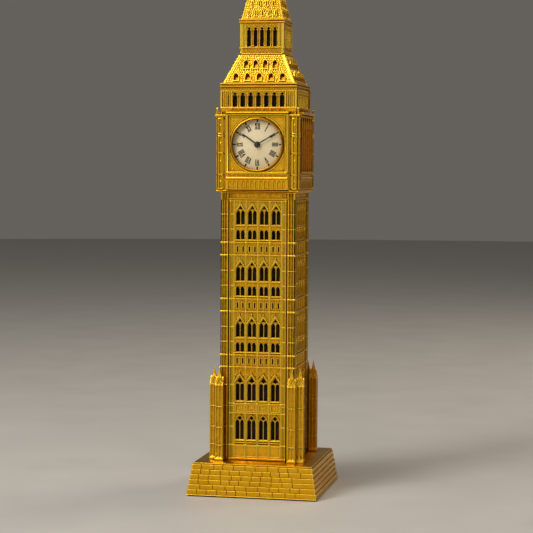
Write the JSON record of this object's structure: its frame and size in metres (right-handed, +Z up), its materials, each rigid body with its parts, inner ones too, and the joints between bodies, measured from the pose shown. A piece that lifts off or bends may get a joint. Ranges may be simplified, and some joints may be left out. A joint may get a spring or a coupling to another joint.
{
  "type": "miniature clock tower",
  "caption": "Tall gilt metal clock tower ornament on a sloping square base, with windowed storeys, an arcaded belfry, tiled spire and a working round quartz clock insert.",
  "frame": {"origin": "centre of the underside of the base pad, on the surface that the tower stands on", "axes": "+Z up the tower, -Y out of the clock face, +X to the right of a viewer who faces the clock"},
  "size_m": [0.07, 0.07, 0.318],
  "materials": {
    "gilt": "satin gold plate over cast metal, brown patina in the recesses",
    "patina": "dark brown patina, matt",
    "rubber": "black rubber",
    "steel": "zinc-plated steel",
    "lens": "clear mineral glass",
    "dial": "cream enamel with black printing",
    "hands": "black lacquer",
    "black_plastic": "moulded, fine grain",
    "white_plastic": "moulded acetal",
    "brass": "turned brass",
    "circuit": "green solder mask on glass-fibre board",
    "copper": "enamelled copper winding",
    "cell": "nickel-plated steel can"
  },
  "bodies": {
    "tower": {"base_pad": "rubber", "bottom_plate": "steel", "plinth": "gilt", "tie_bolt": "steel", "shaft_wall_front": "gilt", "shaft_wall_right": "gilt", "shaft_wall_rear": "gilt", "shaft_wall_left": "gilt", "corner_pier_front_right": "gilt", "corner_pier_rear_right": "gilt", "corner_pier_rear_left": "gilt", "corner_pier_front_left": "gilt", "buttress_front_right": "gilt", "buttress_rear_right": "gilt", "buttress_rear_left": "gilt", "buttress_front_left": "gilt", "window_liner": "patina", "shaft_corbel": "gilt", "clock_panel_front": "gilt", "stage_panel_right": "gilt", "stage_panel_rear": "gilt", "stage_panel_left": "gilt", "corner_turret_front_right": "gilt", "corner_turret_rear_right": "gilt", "corner_turret_rear_left": "gilt", "corner_turret_front_left": "gilt", "stage_cornice": "gilt", "belfry_arcade_front": "gilt", "belfry_arcade_right": "gilt", "belfry_arcade_rear": "gilt", "belfry_arcade_left": "gilt", "belfry_liner": "patina", "belfry_cornice": "gilt", "lower_roof": "gilt", "lantern_arcade": "gilt", "lantern_liner": "patina", "lantern_cornice": "gilt", "upper_roof": "gilt", "finial": "gilt"},
    "clock_insert": {"clock_bezel": "gilt", "clock_lens": "lens", "clock_dial": "dial", "movement_case": "black_plastic", "case_back": "black_plastic", "grip_band": "rubber", "circuit_board": "circuit", "drive_coil": "copper", "battery": "cell", "battery_contact": "steel"},
    "minute_arbor": {"cannon_pinion": "brass", "minute_hand": "hands", "hand_cap": "hands"},
    "hour_arbor": {"hour_wheel": "white_plastic", "hour_hand": "hands"},
    "minute_wheel_arbor": {"minute_wheel": "white_plastic"},
    "setting_arbor": {"setting_knob": "white_plastic"}
  },
  "joints": [
    {"name": "insert_slide", "type": "slide", "parent": "tower", "child": "clock_insert", "axis": [0, -1, 0], "range_m": [0, 0.016]},
    {"name": "minute_turn", "type": "hinge", "parent": "clock_insert", "child": "minute_arbor", "pos_m": [0, -0.0236, 0.1873], "axis": [0, 1, 0], "continuous": true},
    {"name": "hour_turn", "type": "hinge", "parent": "clock_insert", "child": "hour_arbor", "pos_m": [0, -0.0231, 0.1873], "axis": [0, 1, 0], "continuous": true},
    {"name": "minute_wheel_turn", "type": "hinge", "parent": "clock_insert", "child": "minute_wheel_arbor", "pos_m": [-0.00354, -0.0194, 0.18376], "axis": [0, 1, 0], "continuous": true},
    {"name": "setting_turn", "type": "hinge", "parent": "clock_insert", "child": "setting_arbor", "pos_m": [-0.00854, -0.0115, 0.18376], "axis": [0, 1, 0], "continuous": true}
  ],
  "couplings": [
    {"joint": "hour_turn", "follows": "minute_turn", "ratio": 0.083333},
    {"joint": "minute_wheel_turn", "follows": "minute_turn", "ratio": -0.33333},
    {"joint": "setting_turn", "follows": "minute_turn", "ratio": 1}
  ]
}
